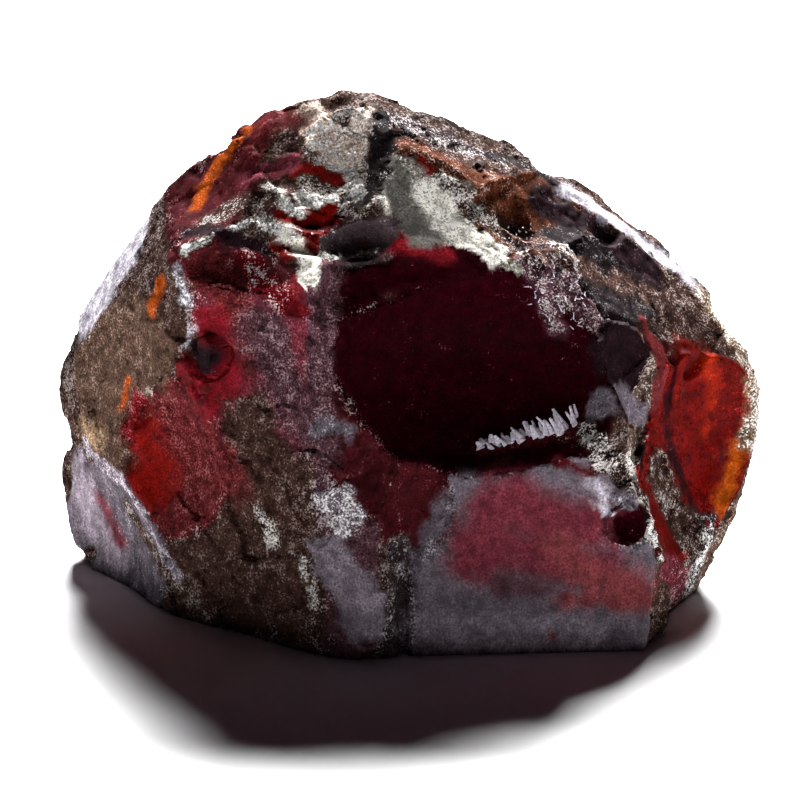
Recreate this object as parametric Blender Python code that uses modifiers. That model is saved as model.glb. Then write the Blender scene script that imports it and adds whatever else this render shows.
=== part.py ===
"""Rough garnet crystal: one broken stone, deep red and see-through, resting on a flat base.

The stone is shaped as nature shaped it. A block with flat faces is stretched over its main
corners. Shell-shaped flakes and flat splits are then taken off it, and where two of them meet
they leave a sharp ridge. The ridges are chipped, and a last pass roughens the broken surface.

Sizes are in millimetres, +X to the right, +Y to the back, +Z up. The stone rests on z = 0.
"""

import math
import random

import bmesh
import bpy
from mathutils import Matrix, Vector

MM = 0.001
STONE = "garnet_crystal"
SEED = 7

# Corners of the unbroken block, ring by ring. The base goes round from the front left.
BASE_RING = [
    (-3.4, -8.5, 0.0),
    (8.9, -8.0, 0.0),
    (11.2, -2.6, 0.0),
    (11.4, -0.2, 0.0),
    (8.4, 4.2, 0.0),
    (2.8, 7.9, 0.0),
    (-4.4, 7.4, 0.0),
    (-10.4, 5.2, 0.0),
    (-13.2, 2.2, 0.0),
    (-12.2, -0.8, 0.0),
    (-9.0, -4.4, 0.0),
]
LEFT_RIM = [
    (-13.9, 2.2, 1.2),
    (-14.1, 2.4, 3.0),
    (-14.1, 2.4, 7.8),
    (-13.0, 2.2, 10.9),
    (-11.5, 1.6, 13.4),
    (-10.6, 1.2, 14.3),
    (-9.0, 1.2, 16.8),
    (-6.6, 1.2, 18.8),
]
CREST = [
    (-4.0, 1.0, 20.0),
    (-2.7, 1.0, 20.3),
    (-1.1, 1.2, 20.0),
    (1.2, 1.6, 19.0),
    (3.6, 2.0, 17.9),
    (6.8, 2.4, 16.0),
]
RIGHT_RIM = [
    (9.2, 2.2, 14.3),
    (11.7, 1.8, 12.1),
    (13.4, 1.2, 9.6),
    (14.1, 1.0, 8.4),
    (14.1, 0.8, 6.2),
    (13.6, 0.2, 4.2),
    (12.2, -1.2, 1.5),
]
FRONT_CORNERS = [
    (-3.4, -8.6, 1.8),
    (-3.4, -8.5, 8.6),
    (-3.4, -7.0, 14.3),
    (-8.8, -3.9, 14.8),
    (-8.4, -4.6, 9.4),
    (-11.2, -2.0, 5.0),
    (4.0, -5.6, 15.7),
    (7.4, -5.4, 12.0),
    (7.8, -7.6, 8.0),
    (9.6, -7.0, 3.4),
]
BACK_CORNERS = [
    (3.2, 9.2, 4.8),
    (-4.6, 8.8, 5.4),
    (-3.4, 8.0, 12.2),
    (3.4, 8.0, 11.0),
    (0.4, 5.0, 17.0),
    (-6.2, 5.2, 15.2),
    (7.6, 6.0, 10.6),
    (12.2, 3.6, 6.4),
    (-12.2, 5.4, 6.8),
]

# Flakes: a point on the block, the way the scar faces, and its half-width, half-height and depth.
FLAKES = {
    "great_scar": ((2.7, -7.0, 11.6), (0.04, -0.98, 0.16), (6.0, 4.5, 3.6)),
    "great_scar_left": ((-1.7, -8.0, 10.2), (0.14, -0.97, 0.2), (2.7, 4.6, 1.5)),
    "great_scar_foot": ((0.5, -8.3, 6.3), (0.2, -0.97, 0.12), (1.6, 3.1, 1.2)),
    "great_scar_head": ((0.9, -5.6, 14.7), (0.0, -0.98, -0.2), (3.9, 1.4, 1.6)),
    "right_window": ((12.0, -2.6, 7.2), (0.7, -0.71, 0.06), (4.4, 5.0, 1.5)),
    "window_crescent": ((8.6, -4.6, 11.0), (0.5, -0.8, 0.3), (1.2, 2.4, 1.0)),
    "window_shell": ((9.6, -4.4, 8.9), (0.6, -0.78, 0.1), (1.5, 2.6, 0.9)),
    "left_window": ((-9.2, -4.0, 6.6), (-0.66, -0.75, 0.04), (3.2, 3.2, 0.8)),
    "left_face": ((-5.8, -6.1, 12.0), (-0.52, -0.85, 0.02), (3.4, 4.4, 1.0)),
    "left_spot": ((-7.9, -4.8, 11.2), (-0.6, -0.8, 0.1), (0.5, 0.9, 1.5)),
    "left_shell": ((-5.0, -6.4, 14.0), (-0.4, -0.9, 0.1), (1.5, 1.2, 1.2)),
    "left_wing": ((-11.6, -1.4, 9.6), (-0.8, -0.6, 0.06), (3.8, 4.4, 0.5)),
    "left_foot": ((-12.0, -1.2, 2.8), (-0.78, -0.6, -0.14), (3.9, 3.0, 0.7)),
    "upper_left": ((-7.8, -1.0, 16.9), (-0.56, -0.36, 0.75), (3.6, 2.6, 0.5)),
    "upper_left_lens": ((-5.0, -3.4, 17.4), (-0.3, -0.6, 0.74), (1.7, 1.2, 0.6)),
    "under_ledge": ((-6.9, -4.9, 14.7), (-0.3, -0.95, -0.2), (2.4, 0.8, 1.6)),
    "crown_notch": ((-1.8, -4.8, 15.8), (0.0, -0.98, 0.2), (1.6, 0.9, 1.9)),
    "crown_front": ((-2.6, -2.2, 18.0), (-0.1, -0.6, 0.8), (1.6, 2.6, 0.6)),
    "crown_lens": ((-3.4, -4.0, 16.6), (-0.1, -0.7, 0.7), (1.6, 0.7, 0.6)),
    "crown_lens_low": ((-4.0, -4.9, 15.8), (-0.2, -0.7, 0.7), (1.4, 0.5, 0.5)),
    "upper_right": ((5.6, -1.4, 15.9), (0.46, -0.4, 0.8), (3.6, 1.5, 0.7)),
    "right_shoulder": ((8.2, -1.8, 13.4), (0.6, -0.4, 0.7), (2.6, 1.9, 0.7)),
    "right_brow": ((6.4, -4.6, 13.4), (0.6, -0.6, 0.5), (1.5, 1.3, 0.5)),
    "small_pocket": ((8.4, -7.6, 5.2), (0.3, -0.95, 0.1), (0.9, 0.9, 1.4)),
    "pocket_step": ((9.2, -6.4, 6.9), (0.6, -0.78, 0.1), (0.8, 1.4, 0.9)),
    "front_groove": ((-0.2, -8.4, 2.4), (0.05, -1.0, 0.0), (0.34, 3.2, 1.0)),
    "front_dimple": ((-2.6, -8.5, 6.1), (-0.1, -1.0, 0.1), (0.9, 1.2, 0.35)),
    "front_shell": ((-2.6, -8.3, 9.2), (0.2, -0.95, 0.2), (1.0, 0.7, 0.7)),
    "left_foot_hollow": ((-6.8, -6.2, 0.8), (-0.5, -0.85, 0.0), (1.9, 0.8, 0.7)),
    "back_right": ((10.2, 4.6, 5.0), (0.5, 0.86, -0.02), (5.0, 7.6, 1.7)),
    "back_right_shell": ((7.4, 6.2, 9.8), (0.4, 0.88, 0.3), (3.2, 2.6, 0.9)),
    "back_right_foot": ((6.4, 6.4, 1.6), (0.4, 0.9, -0.2), (3.0, 2.4, 0.8)),
    "back_left_foot": ((-8.2, 6.2, 2.2), (-0.4, 0.9, -0.1), (4.0, 2.4, 0.9)),
    "back_left_shell": ((-6.0, 6.9, 12.4), (-0.4, 0.8, 0.4), (3.0, 2.2, 0.8)),
    "back_lower": ((0.4, 9.0, 3.2), (0.05, 1.0, -0.1), (4.6, 3.8, 0.8)),
    "back_middle": ((-1.6, 8.6, 9.6), (-0.1, 0.98, 0.16), (4.4, 2.8, 0.7)),
    "back_crest": ((-4.0, 3.4, 18.2), (-0.3, 0.7, 0.65), (2.6, 2.2, 0.5)),
    "back_crest_right": ((4.6, 4.6, 14.6), (0.35, 0.66, 0.66), (3.4, 2.4, 0.7)),
}
FLAKE_ROUNDNESS = 3.0  # how many times deeper the whole ellipsoid is than the flake that it takes

# Flat splits: a point on each, the way it faces, and the width and height that it takes away.
SPLITS = {
    "lower_front": ((4.7, -7.6, 3.6), (0.06, -0.99, 0.1), (9.8, 8.6)),
    "left_front": ((-6.2, -6.1, 6.0), (-0.56, -0.83, 0.03), (12.0, 20.0)),
    "front_corner": ((-3.5, -7.9, 6.0), (-0.3, -0.95, 0.04), (5.0, 20.0)),
    "upper_left": ((-7.6, -0.9, 17.0), (-0.58, -0.3, 0.76), (12.0, 7.4)),
    "crown_right": ((1.6, -3.3, 16.6), (0.12, -0.72, 0.68), (4.8, 6.0)),
    "under_crest": ((5.0, -1.2, 15.9), (0.45, -0.38, 0.81), (7.6, 3.0)),
    "back_left": ((-9.8, 4.7, 8.0), (-0.46, 0.87, 0.18), (10.0, 12.0)),
    "back_upper": ((0.2, 5.7, 14.8), (0.12, 0.8, 0.59), (8.0, 5.0)),
    "right_foot": ((12.2, -1.9, 2.4), (0.84, -0.46, -0.3), (9.0, 8.0)),
}
SPLIT_DEPTH = 6.0

# Wear and roughness.
FLAKE_FACES = 5  # icosphere subdivisions of a flake
CHIPS = 150
CHIP_SIZES = (0.35, 1.15)  # smallest and largest half-size of a chip
SHARP_RIDGE = math.radians(26)  # ridges sharper than this are chipped
GRAIN = 0.17  # cell size that the stone is resolved to
LUMP_SIZES = (3.0, 1.0)
LUMP_HEIGHTS = (0.18, 0.07)
FACES_KEPT = 9400
BASE_TRIM = 0.15  # height that the flat base is cut at


def clear_scene():
    for old in list(bpy.data.objects):
        bpy.data.objects.remove(old)


def new_collection(name):
    made = bpy.data.collections.new(name)
    bpy.context.scene.collection.children.link(made)
    return made


def object_from(shape, name, collection, is_cutter=False):
    """A named object that holds the bmesh shape."""
    mesh = bpy.data.meshes.new(name)
    shape.to_mesh(mesh)
    shape.free()
    made = bpy.data.objects.new(name, mesh)
    collection.objects.link(made)
    made.hide_render = is_cutter
    if is_cutter:
        made.display_type = "WIRE"
    return made


def facing(point, direction):
    """Place and turn of a cutter whose own +Z points the way its scar faces."""
    turn = Vector(direction).to_track_quat("Z", "Y").to_matrix().to_4x4()
    return Matrix.Translation(Vector(point) * MM) @ turn


def make_block(collection):
    """The unbroken block: the tightest flat-faced body round all the corners."""
    shape = bmesh.new()
    rings = BASE_RING + LEFT_RIM + CREST + RIGHT_RIM + FRONT_CORNERS + BACK_CORNERS
    for corner in rings:
        shape.verts.new(Vector(corner) * MM)
    hull = bmesh.ops.convex_hull(shape, input=shape.verts)
    inside = [v for v in hull["geom_interior"] if isinstance(v, bmesh.types.BMVert)]
    bmesh.ops.delete(shape, geom=inside, context="VERTS")
    bmesh.ops.recalc_face_normals(shape, faces=shape.faces)
    return object_from(shape, STONE, collection)


def make_flakes(collection):
    """Ellipsoids that dip into the block by each flake's depth, and are as wide there as its scar."""
    lift = FLAKE_ROUNDNESS - 1.0
    spread = FLAKE_ROUNDNESS / math.sqrt(FLAKE_ROUNDNESS**2 - lift**2)
    for name, (point, direction, (half_width, half_height, depth)) in FLAKES.items():
        shape = bmesh.new()
        bmesh.ops.create_icosphere(shape, subdivisions=FLAKE_FACES, radius=1.0)
        half_sizes = (half_width * spread, half_height * spread, depth * FLAKE_ROUNDNESS)
        size = Matrix.Diagonal((*[half * MM for half in half_sizes], 1.0))
        raised = Matrix.Translation((0.0, 0.0, depth * lift * MM))
        bmesh.ops.transform(shape, matrix=facing(point, direction) @ raised @ size, verts=shape.verts)
        object_from(shape, name, collection, is_cutter=True)


def make_splits(collection):
    for name, (point, direction, (width, height)) in SPLITS.items():
        shape = bmesh.new()
        bmesh.ops.create_cube(shape, size=1.0)
        size = Matrix.Diagonal((width * MM, height * MM, SPLIT_DEPTH * MM, 1.0))
        lift = Matrix.Translation((0.0, 0.0, SPLIT_DEPTH * MM / 2))
        bmesh.ops.transform(shape, matrix=facing(point, direction) @ lift @ size, verts=shape.verts)
        object_from(shape, name, collection, is_cutter=True)


def take_off(stone, cutters, name):
    cut = stone.modifiers.new(name, "BOOLEAN")
    cut.operation = "DIFFERENCE"
    cut.solver = "EXACT"
    cut.operand_type = "COLLECTION"
    cut.collection = cutters


def settle(stone):
    """Turns the stone's modifiers into its mesh."""
    graph = bpy.context.evaluated_depsgraph_get()
    mesh = bpy.data.meshes.new_from_object(stone.evaluated_get(graph))
    stone.modifiers.clear()
    stone.data = mesh
    mesh.name = STONE


def make_chips(stone, collection):
    """Small flakes along the sharp ridges, more of them where a ridge is long."""
    chance = random.Random(SEED)
    shape = bmesh.new()
    shape.from_mesh(stone.data)
    ridges = []
    for edge in shape.edges:
        if edge.is_manifold and edge.is_convex and edge.calc_face_angle() > SHARP_RIDGE:
            middle = (edge.verts[0].co + edge.verts[1].co) / 2
            outward = (edge.link_faces[0].normal + edge.link_faces[1].normal).normalized()
            if middle.z > 0.5 * MM:
                ridges.append((middle, outward, edge.calc_length()))
    shape.free()
    lengths = [ridge[2] for ridge in ridges]
    for number, (middle, outward, _) in enumerate(chance.choices(ridges, lengths, k=CHIPS)):
        low, high = CHIP_SIZES
        half = (low + (high - low) * chance.random() ** 2) * MM
        chip = bmesh.new()
        bmesh.ops.create_icosphere(chip, subdivisions=2, radius=half)
        stretch = Matrix.Diagonal((1.0 + chance.random(), 1.0, 1.0, 1.0))
        spin = Matrix.Rotation(chance.random() * math.tau, 4, outward)
        place = Matrix.Translation(middle + outward * half * (0.55 + 0.25 * chance.random()))
        bmesh.ops.transform(chip, matrix=place @ spin @ stretch, verts=chip.verts)
        object_from(chip, f"chip_{number:03d}", collection, is_cutter=True)


def roughen(stone):
    """Resolves the stone to an even grain, lumps it, and keeps the faces that matter."""
    grain = stone.modifiers.new("grain", "REMESH")
    grain.mode = "VOXEL"
    grain.voxel_size = GRAIN * MM
    for size, height in zip(LUMP_SIZES, LUMP_HEIGHTS):
        pattern = bpy.data.textures.new(f"lumps_{size}", "CLOUDS")
        pattern.noise_scale = size * MM
        pattern.noise_depth = 1
        lumps = stone.modifiers.new(f"lumps {size} mm", "DISPLACE")
        lumps.texture = pattern
        lumps.texture_coords = "LOCAL"
        lumps.strength = height * MM
        lumps.mid_level = 0.5
    settle(stone)
    thin = stone.modifiers.new("keep the main faces", "DECIMATE")
    thin.ratio = FACES_KEPT / len(stone.data.polygons) / 2
    settle(stone)


def flatten_base(stone):
    """Trims the base flat and puts the origin at the middle of the footprint's box."""
    shape = bmesh.new()
    shape.from_mesh(stone.data)
    every = shape.verts[:] + shape.edges[:] + shape.faces[:]
    cut = bmesh.ops.bisect_plane(
        shape, geom=every, dist=1e-7, plane_co=(0, 0, BASE_TRIM * MM), plane_no=(0, 0, -1), clear_outer=True
    )
    rim = [edge for edge in cut["geom_cut"] if isinstance(edge, bmesh.types.BMEdge)]
    bmesh.ops.holes_fill(shape, edges=rim, sides=0)
    bmesh.ops.triangulate(shape, faces=shape.faces)
    low = Vector([min(v.co[axis] for v in shape.verts) for axis in range(3)])
    high = Vector([max(v.co[axis] for v in shape.verts) for axis in range(3)])
    middle = (low + high) / 2
    bmesh.ops.translate(shape, verts=shape.verts, vec=(-middle.x, -middle.y, -low.z))
    shape.to_mesh(stone.data)
    shape.free()


def garnet_material():
    """Deep red garnet: refractive index of about 1.76, satin where it broke."""
    material = bpy.data.materials.new("red garnet")
    material.use_nodes = True
    shader = material.node_tree.nodes["Principled BSDF"]
    shader.inputs["Base Color"].default_value = (0.09, 0.012, 0.014, 1.0)
    shader.inputs["Metallic"].default_value = 0.0
    shader.inputs["Roughness"].default_value = 0.3
    shader.inputs["IOR"].default_value = 1.76
    return material


def build():
    clear_scene()
    stones = new_collection("garnet crystal")
    flakes = new_collection("flakes and splits")
    chips = new_collection("ridge chips")
    stone = make_block(stones)
    make_flakes(flakes)
    make_splits(flakes)
    take_off(stone, flakes, "flakes")
    settle(stone)
    make_chips(stone, chips)
    take_off(stone, chips, "chips")
    settle(stone)
    roughen(stone)
    flatten_base(stone)
    stone.data.materials.clear()
    stone.data.materials.append(garnet_material())


build()
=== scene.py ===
import itertools
import math

import bmesh
import bpy
import numpy as np
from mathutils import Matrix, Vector


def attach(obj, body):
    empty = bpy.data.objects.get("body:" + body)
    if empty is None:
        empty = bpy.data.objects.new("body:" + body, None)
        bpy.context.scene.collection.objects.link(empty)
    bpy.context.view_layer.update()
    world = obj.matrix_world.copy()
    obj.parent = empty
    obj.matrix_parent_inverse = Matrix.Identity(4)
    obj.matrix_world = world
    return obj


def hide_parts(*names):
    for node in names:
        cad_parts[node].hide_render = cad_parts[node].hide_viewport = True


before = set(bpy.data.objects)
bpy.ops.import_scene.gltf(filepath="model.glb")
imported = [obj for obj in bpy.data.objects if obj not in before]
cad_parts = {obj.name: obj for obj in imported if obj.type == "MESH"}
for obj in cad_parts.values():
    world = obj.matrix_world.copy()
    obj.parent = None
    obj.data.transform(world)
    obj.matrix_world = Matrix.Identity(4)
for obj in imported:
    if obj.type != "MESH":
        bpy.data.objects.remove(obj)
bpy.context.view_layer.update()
mm = 0.001
stoneNode = "garnet_crystal"

# Sizes are in millimetres, on the solid's own numbers. numbersToFrame brings them to the frame.
numbersToFrame = np.array((-0.009, -0.231, -0.15))

stoneSet = {
    "grain": 0.125,          # cell size of the fine mesh
    "snapWithin": 0.34,      # a scar's surface is trued up where the solid is this near to it
    "snapFades": 0.5,        # the share of that distance over which it lets go
    "ridgeWidth": 0.55,      # half-width of the crumbly strip where two scars meet
    "ridgeEases": 0.5,       # power by which that strip is left as it is
    "ownedFrom": 0.3,        # how near, from 0 to 1, the surface is to a scar that covers it
    "refillEdge": (0.8, 1.2),  # shares of a flake's half size over which its refill fades out
}

# Shell-shaped flakes: a point on each, the way it faces, half-width, half-height and depth.
flakes = {
    "greatScar": ((2.7, -7.0, 11.6), (0.04, -0.98, 0.16), (6.0, 4.5, 3.6)),
    "greatScarLeft": ((-1.7, -8.0, 10.2), (0.14, -0.97, 0.2), (2.7, 4.6, 1.5)),
    "greatScarFoot": ((0.5, -8.3, 6.3), (0.2, -0.97, 0.12), (1.6, 3.1, 1.2)),
    "greatScarHead": ((0.9, -5.6, 14.7), (0.0, -0.98, -0.2), (3.9, 1.4, 1.6)),
    "rightWindow": ((12.0, -2.6, 7.2), (0.7, -0.71, 0.06), (4.4, 5.0, 1.5)),
    "windowCrescent": ((8.6, -4.6, 11.0), (0.5, -0.8, 0.3), (1.2, 2.4, 1.0)),
    "windowShell": ((9.6, -4.4, 8.9), (0.6, -0.78, 0.1), (1.5, 2.6, 0.9)),
    "leftWindow": ((-9.2, -4.0, 6.6), (-0.66, -0.75, 0.04), (3.2, 3.2, 0.8)),
    "leftFace": ((-5.8, -6.1, 12.0), (-0.52, -0.85, 0.02), (3.4, 4.4, 1.0)),
    "leftSpot": ((-7.9, -4.8, 11.2), (-0.6, -0.8, 0.1), (0.5, 0.9, 1.5)),
    "leftShell": ((-5.0, -6.4, 14.0), (-0.4, -0.9, 0.1), (1.5, 1.2, 1.2)),
    "leftWing": ((-11.6, -1.4, 9.6), (-0.8, -0.6, 0.06), (3.8, 4.4, 0.5)),
    "leftFoot": ((-12.0, -1.2, 2.8), (-0.78, -0.6, -0.14), (3.9, 3.0, 0.7)),
    "upperLeft": ((-7.8, -1.0, 16.9), (-0.56, -0.36, 0.75), (3.6, 2.6, 0.5)),
    "upperLeftLens": ((-5.0, -3.4, 17.4), (-0.3, -0.6, 0.74), (1.7, 1.2, 0.6)),
    "underLedge": ((-6.9, -4.9, 14.7), (-0.3, -0.95, -0.2), (2.4, 0.8, 1.6)),
    "crownNotch": ((-1.8, -4.8, 15.8), (0.0, -0.98, 0.2), (1.6, 0.9, 1.9)),
    "crownFront": ((-2.6, -2.2, 18.0), (-0.1, -0.6, 0.8), (1.6, 2.6, 0.6)),
    "crownLens": ((-3.4, -4.0, 16.6), (-0.1, -0.7, 0.7), (1.6, 0.7, 0.6)),
    "crownLensLow": ((-4.0, -4.9, 15.8), (-0.2, -0.7, 0.7), (1.4, 0.5, 0.5)),
    "upperRight": ((5.6, -1.4, 15.9), (0.46, -0.4, 0.8), (3.6, 1.5, 0.7)),
    "rightShoulder": ((8.2, -1.8, 13.4), (0.6, -0.4, 0.7), (2.6, 1.9, 0.7)),
    "rightBrow": ((6.4, -4.6, 13.4), (0.6, -0.6, 0.5), (1.5, 1.3, 0.5)),
    "smallPocket": ((8.4, -7.6, 5.2), (0.3, -0.95, 0.1), (0.9, 0.9, 1.4)),
    "pocketStep": ((9.2, -6.4, 6.9), (0.6, -0.78, 0.1), (0.8, 1.4, 0.9)),
    "frontGroove": ((-0.2, -8.4, 2.4), (0.05, -1.0, 0.0), (0.34, 3.2, 1.0)),
    "frontDimple": ((-2.6, -8.5, 6.1), (-0.1, -1.0, 0.1), (0.9, 1.2, 0.35)),
    "frontShell": ((-2.6, -8.3, 9.2), (0.2, -0.95, 0.2), (1.0, 0.7, 0.7)),
    "leftFootHollow": ((-6.8, -6.2, 0.8), (-0.5, -0.85, 0.0), (1.9, 0.8, 0.7)),
    "backRight": ((10.2, 4.6, 5.0), (0.5, 0.86, -0.02), (5.0, 7.6, 1.7)),
    "backRightShell": ((7.4, 6.2, 9.8), (0.4, 0.88, 0.3), (3.2, 2.6, 0.9)),
    "backRightFoot": ((6.4, 6.4, 1.6), (0.4, 0.9, -0.2), (3.0, 2.4, 0.8)),
    "backLeftFoot": ((-8.2, 6.2, 2.2), (-0.4, 0.9, -0.1), (4.0, 2.4, 0.9)),
    "backLeftShell": ((-6.0, 6.9, 12.4), (-0.4, 0.8, 0.4), (3.0, 2.2, 0.8)),
    "backLower": ((0.4, 9.0, 3.2), (0.05, 1.0, -0.1), (4.6, 3.8, 0.8)),
    "backMiddle": ((-1.6, 8.6, 9.6), (-0.1, 0.98, 0.16), (4.4, 2.8, 0.7)),
    "backCrest": ((-4.0, 3.4, 18.2), (-0.3, 0.7, 0.65), (2.6, 2.2, 0.5)),
    "backCrestRight": ((4.6, 4.6, 14.6), (0.35, 0.66, 0.66), (3.4, 2.4, 0.7)),
}
flakeRoundness = 3.0  # how many times deeper the whole ellipsoid is than the flake that it took

# Flat splits: a point on each, the way it faces, and its width and height.
splits = {
    "lowerFront": ((4.7, -7.6, 3.6), (0.06, -0.99, 0.1), (9.8, 8.6)),
    "leftFront": ((-6.2, -6.1, 6.0), (-0.56, -0.83, 0.03), (12.0, 20.0)),
    "frontCorner": ((-3.5, -7.9, 6.0), (-0.3, -0.95, 0.04), (5.0, 20.0)),
    "upperLeftSplit": ((-7.6, -0.9, 17.0), (-0.58, -0.3, 0.76), (12.0, 7.4)),
    "crownRight": ((1.6, -3.3, 16.6), (0.12, -0.72, 0.68), (4.8, 6.0)),
    "underCrest": ((5.0, -1.2, 15.9), (0.45, -0.38, 0.81), (7.6, 3.0)),
    "backLeft": ((-9.8, 4.7, 8.0), (-0.46, 0.87, 0.18), (10.0, 12.0)),
    "backUpper": ((0.2, 5.7, 14.8), (0.12, 0.8, 0.59), (8.0, 5.0)),
    "rightFoot": ((12.2, -1.9, 2.4), (0.84, -0.46, -0.3), (9.0, 8.0)),
}
splitDepth = 6.0
# The share of a flake's depth that is given back.
refilled = {
    "leftSpot": 1.0, "smallPocket": 0.3, "windowCrescent": 0.5, "rightShoulder": 0.75, "rightBrow": 0.9,
}
mergeWithin = 1e-7  # metres


def ownAxes(facing):
    return np.array(Vector(facing).to_track_quat("Z", "Y").to_matrix())


def distanceToFlake(points, spot, facing, size):
    axes = ownAxes(facing)
    halfWidth, halfHeight, depth = size
    whole = depth * flakeRoundness
    spread = math.sqrt(1 - (1 - 1 / flakeRoundness) ** 2)
    halves = np.array((halfWidth / spread, halfHeight / spread, whole))
    centre = np.array(spot) + numbersToFrame + axes[:, 2] * (whole - depth)
    local = (points - centre) @ axes
    reach = np.linalg.norm(local / halves, axis=1)
    slope = local / halves**2
    steep = np.linalg.norm(slope, axis=1)
    return (reach - 1) * reach / steep, (slope / steep[:, None]) @ axes.T


def distanceToSplit(points, spot, facing, size):
    axes = ownAxes(facing)
    halves = np.array((size[0] / 2, size[1] / 2, splitDepth / 2))
    centre = np.array(spot) + numbersToFrame + axes[:, 2] * splitDepth / 2
    past = np.abs((points - centre) @ axes) - halves
    distance = np.linalg.norm(np.maximum(past, 0), axis=1) + np.minimum(past.max(axis=1), 0)
    return distance, np.tile(-axes[:, 2], (len(points), 1))


def fineStone():
    shape = bmesh.new()
    shape.from_mesh(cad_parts[stoneNode].data)
    bmesh.ops.remove_doubles(shape, verts=shape.verts, dist=mergeWithin)
    mesh = bpy.data.meshes.new("garnetStone")
    shape.to_mesh(mesh)
    shape.free()
    stone = bpy.data.objects.new("garnetStone", mesh)
    bpy.context.scene.collection.objects.link(stone)
    finer = stone.modifiers.new("finer", "REMESH")
    finer.mode = "VOXEL"
    finer.voxel_size = stoneSet["grain"] * mm
    settle(stone)
    print("fine stone:", len(stone.data.vertices), "points")
    return stone


def settle(piece):
    # The evaluated shape becomes the piece's own mesh, and its modifiers go.
    graph = bpy.context.evaluated_depsgraph_get()
    plain = bpy.data.meshes.new_from_object(piece.evaluated_get(graph), depsgraph=graph)
    piece.modifiers.clear()
    piece.data = plain


def pointsOf(mesh):
    flat = np.empty(len(mesh.vertices) * 3, np.float32)
    mesh.vertices.foreach_get("co", flat)
    return flat.reshape(-1, 3).astype(float) / mm


def setPoints(mesh, points):
    mesh.vertices.foreach_set("co", (points * mm).astype(np.float32).ravel())
    mesh.update()


def smooth(values, low, high):
    t = np.clip((values - low) / (high - low), 0, 1)
    return t * t * (3 - 2 * t)


hashSteps = (374761393, 668265263, 2147483647)  # one for each axis, to mix the corners' numbers
hashSeed, hashTurn = 974634777, 1274126177
hashMiddle = 32767.5  # half of the widest 16-bit value
cellsBelow = 1000.0   # keeps the numbers of the cells positive


def unevenness(points, size, seed):
    # Smooth random values from -1 to 1, one for each point, that change over this size.
    cell = points / size + cellsBelow
    corner = np.floor(cell).astype(np.uint64)
    part = cell - corner
    part = part * part * (3 - 2 * part)
    total = np.zeros(len(points))
    mask = np.uint64(0xFFFFFFFF)
    for steps in itertools.product((0, 1), repeat=3):
        mixed = np.uint64(seed * hashSeed)
        weight = 1.0
        for axis, step in enumerate(steps):
            mixed = mixed + (corner[:, axis] + np.uint64(step)) * np.uint64(hashSteps[axis])
            weight = weight * (part[:, axis] if step else 1 - part[:, axis])
        mixed = mixed & mask
        mixed = ((mixed ^ (mixed >> np.uint64(13))) * np.uint64(hashTurn)) & mask
        mixed = mixed ^ (mixed >> np.uint64(16))
        total += weight * ((mixed & np.uint64(0xFFFF)).astype(float) / hashMiddle - 1)
    return total


def layered(points, layers):
    return sum(share * unevenness(points, size, seed) for share, size, seed in layers)


def trueScars(mesh):
    points = pointsOf(mesh)
    names = list(flakes) + list(splits)
    found = [distanceToFlake(points, *flakes[name]) for name in flakes]
    found += [distanceToSplit(points, *splits[name]) for name in splits]
    distances = np.array([each[0] for each in found])
    order = np.argsort(np.abs(distances), axis=0)
    nearest = order[0]
    rows = np.arange(len(points))
    first = distances[nearest, rows]
    second = np.abs(distances[order[1], rows])
    away = np.array([each[1] for each in found])[nearest, rows]
    ridge = np.clip(1 - (second - np.abs(first)) / stoneSet["ridgeWidth"], 0, 1)
    reach = stoneSet["snapWithin"]
    near = np.clip((reach - np.abs(first)) / (stoneSet["snapFades"] * reach), 0, 1)
    hold = near * (1 - ridge) ** stoneSet["ridgeEases"]
    points -= away * (first * hold)[:, None]
    for name, share in refilled.items():
        spot, facing, size = flakes[name]
        axes = ownAxes(facing)
        local = (points - np.array(spot) - numbersToFrame) @ axes / np.array((size[0], size[1], 1.0))
        fade = 1 - smooth(np.hypot(local[:, 0], local[:, 1]), *stoneSet["refillEdge"])
        deep = np.clip(-local[:, 2] * fade, 0, size[2])
        points += np.outer(deep * share * (nearest == names.index(name)) * near, axes[:, 2])
    setPoints(mesh, points)
    owner = np.where(near > stoneSet["ownedFrom"], nearest, -1)
    return names, owner, near, ridge * near


# What covers the surface. ground is the colour of the dull skin and veil how solid that skin is,
# frost is the share covered by loose grains and snow how white they are, satin dulls the clear
# glass, streak draws fine lines, and broken and ripple are for the relief. In the places marked
# below, ground also holds painted glow, painted reflections, painted highlights and painted shade.
# flare, scarlet, ember and coral are used only as painted glow; the other colours are the stone's own, and
# where marked they also paint glow, reflections, highlights or shade.
palette = {
    "wine": (0.0155, 0.0003, 0.0019), "night": (0.012, 0.005, 0.007), "coal": (0.045, 0.031, 0.034),
    "maroon": (0.046, 0.005, 0.007), "crimson": (0.13, 0.005, 0.009), "blood": (0.13, 0.003, 0.002),
    "flare": (0.105, 0.0016, 0.0008), "scarlet": (0.20, 0.009, 0.001), "ember": (0.30, 0.052, 0.004),
    "rose": (0.118, 0.019, 0.029), "coral": (0.165, 0.034, 0.038), "plum": (0.062, 0.026, 0.033),
    "slate": (0.105, 0.086, 0.103), "lilac": (0.21, 0.172, 0.205), "pearl": (0.42, 0.39, 0.44),
    "umber": (0.044, 0.021, 0.016), "rust": (0.060, 0.017, 0.007), "tan": (0.075, 0.042, 0.029),
    "ochre": (0.22, 0.14, 0.085), "shell": (0.90, 0.68, 0.55), "ash": (0.31, 0.29, 0.25),
    "bone": (0.88, 0.84, 0.75), "soot": (0.013, 0.009, 0.010), "steel": (0.125, 0.118, 0.105),
    "smoke": (0.15, 0.123, 0.147), "brick": (0.088, 0.012, 0.013), "dusk": (0.020, 0.0030, 0.0042),
    "loam": (0.021, 0.0105, 0.0075), "ink": (0.010, 0.0065, 0.0075), "claret": (0.030, 0.0013, 0.0020),
}
coverNames = ("veil", "frost", "snow", "satin", "streak", "broken", "ripple")


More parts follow.
